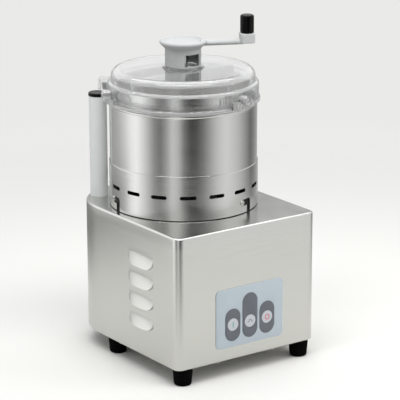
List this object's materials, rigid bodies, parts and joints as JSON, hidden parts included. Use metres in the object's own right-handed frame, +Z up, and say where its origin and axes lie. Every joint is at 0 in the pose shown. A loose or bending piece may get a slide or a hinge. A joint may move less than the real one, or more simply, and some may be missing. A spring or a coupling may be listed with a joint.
{
  "type": "food chopper",
  "caption": "Bench food chopper with a stainless housing, bayonet bowl, clear lid, hand-cranked wall scraper, interlock column and a three-key panel.",
  "frame": {"origin": "on the floor, at the middle of the machine's outer box", "axes": "+X along the front panel to its right, +Y from the front panel to the rear wall, +Z up"},
  "size_m": [0.2606, 0.3092, 0.507],
  "materials": {
    "housing_steel": "satin ground stainless sheet",
    "bowl_steel": "stainless steel polished round the axis",
    "blade_steel": "ground stainless steel",
    "machined_steel": "turned stainless steel",
    "plated_steel": "zinc plated",
    "column_alloy": "satin anodised",
    "cast_alloy": "as cast",
    "motor_paint": "matt grey paint",
    "winding_copper": "varnished copper wire",
    "foot_rubber": "moulded black rubber",
    "black_plastic": "moulded, slightly glossy",
    "pale_plastic": "moulded, satin",
    "clear_polycarbonate": "clear, glossy",
    "silicone": "translucent white silicone",
    "keypad_film": "satin film, pale blue grey",
    "key_pad_grey": "satin film, slate grey",
    "board_resin": "green solder resist",
    "key_green": "pale film with a green mark",
    "key_grey": "pale film with a grey mark",
    "key_red": "pale film with a red mark"
  },
  "bodies": {
    "base": {"housing_shell": "housing_steel", "floor_plate": "plated_steel", "floor_plate_screws": "plated_steel", "feet": "foot_rubber", "foot_screws": "plated_steel", "locating_ring": "machined_steel", "bayonet_pins": "machined_steel", "drive_boss": "cast_alloy", "boss_screws": "plated_steel", "shaft_seal": "foot_rubber", "upper_bearing": "machined_steel", "upper_end_bell": "cast_alloy", "motor_can": "motor_paint", "stator_core": "motor_paint", "stator_windings": "winding_copper", "lower_end_bell": "cast_alloy", "lower_bearing": "machined_steel", "motor_studs": "plated_steel", "column_tube": "column_alloy", "column_stud": "plated_steel", "column_nut": "plated_steel", "column_cap": "black_plastic", "reed_switch": "board_resin", "keypad_plate": "keypad_film", "key_surrounds": "key_pad_grey", "key_board": "board_resin", "board_spacers": "plated_steel", "key_switches": "black_plastic", "run_capacitor": "column_alloy", "capacitor_clip": "plated_steel", "motor_relay": "black_plastic", "cord_bush": "black_plastic"},
    "knife": {"drive_shaft": "machined_steel", "motor_rotor": "motor_paint", "cooling_fan": "black_plastic", "knife_hub": "machined_steel", "lower_blade": "blade_steel", "blade_spacer": "machined_steel", "upper_blade": "blade_steel", "knife_clamp_ring": "machined_steel", "knife_cap": "black_plastic"},
    "bowl": {"bowl_pot": "bowl_steel", "bowl_jacket": "bowl_steel", "bowl_centre_tube": "bowl_steel"},
    "lid_ring": {"lid_gasket": "silicone"},
    "lid": {"lid_shell": "clear_polycarbonate", "lug_pins": "machined_steel", "lid_magnet": "black_plastic"},
    "scraper": {"crank_head": "pale_plastic", "scraper_shaft": "machined_steel", "scraper_arm": "pale_plastic", "scraper_wipers": "silicone", "knob_spindle": "machined_steel"},
    "knob": {"crank_knob": "black_plastic"},
    "start_key": {"start_key": "key_green"},
    "pulse_key": {"pulse_key": "key_grey"},
    "stop_key": {"stop_key": "key_red"}
  },
  "joints": [
    {"name": "knife_spin", "type": "hinge", "parent": "base", "child": "knife", "pos_m": [-0.002, 0.009, 0.3], "axis": [0, 0, 1], "continuous": true},
    {"name": "bowl_turn", "type": "hinge", "parent": "base", "child": "bowl", "pos_m": [-0.002, 0.009, 0.3], "axis": [0, 0, 1], "range_deg": [-8.5, 0]},
    {"name": "lid_turn", "type": "hinge", "parent": "bowl", "child": "lid_ring", "pos_m": [-0.002, 0.009, 0.384], "axis": [0, 0, 1], "range_deg": [-30, 0]},
    {"name": "lid_lift", "type": "slide", "parent": "lid_ring", "child": "lid", "axis": [0, 0, 1], "range_m": [0, 0.12]},
    {"name": "crank_turn", "type": "hinge", "parent": "lid", "child": "scraper", "pos_m": [-0.002, 0.009, 0.44], "axis": [0, 0, 1], "continuous": true},
    {"name": "knob_spin", "type": "hinge", "parent": "scraper", "child": "knob", "pos_m": [0.08428, -0.03308, 0.49], "axis": [0, 0, 1], "continuous": true},
    {"name": "start_press", "type": "slide", "parent": "base", "child": "start_key", "axis": [0, 1, 0], "range_m": [0, 0.001], "stiffness_N_per_m": 600, "springref_m": -0.0005},
    {"name": "pulse_press", "type": "slide", "parent": "base", "child": "pulse_key", "axis": [0, 1, 0], "range_m": [0, 0.001], "stiffness_N_per_m": 600, "springref_m": -0.0005},
    {"name": "stop_press", "type": "slide", "parent": "base", "child": "stop_key", "axis": [0, 1, 0], "range_m": [0, 0.001], "stiffness_N_per_m": 600, "springref_m": -0.0005}
  ]
}
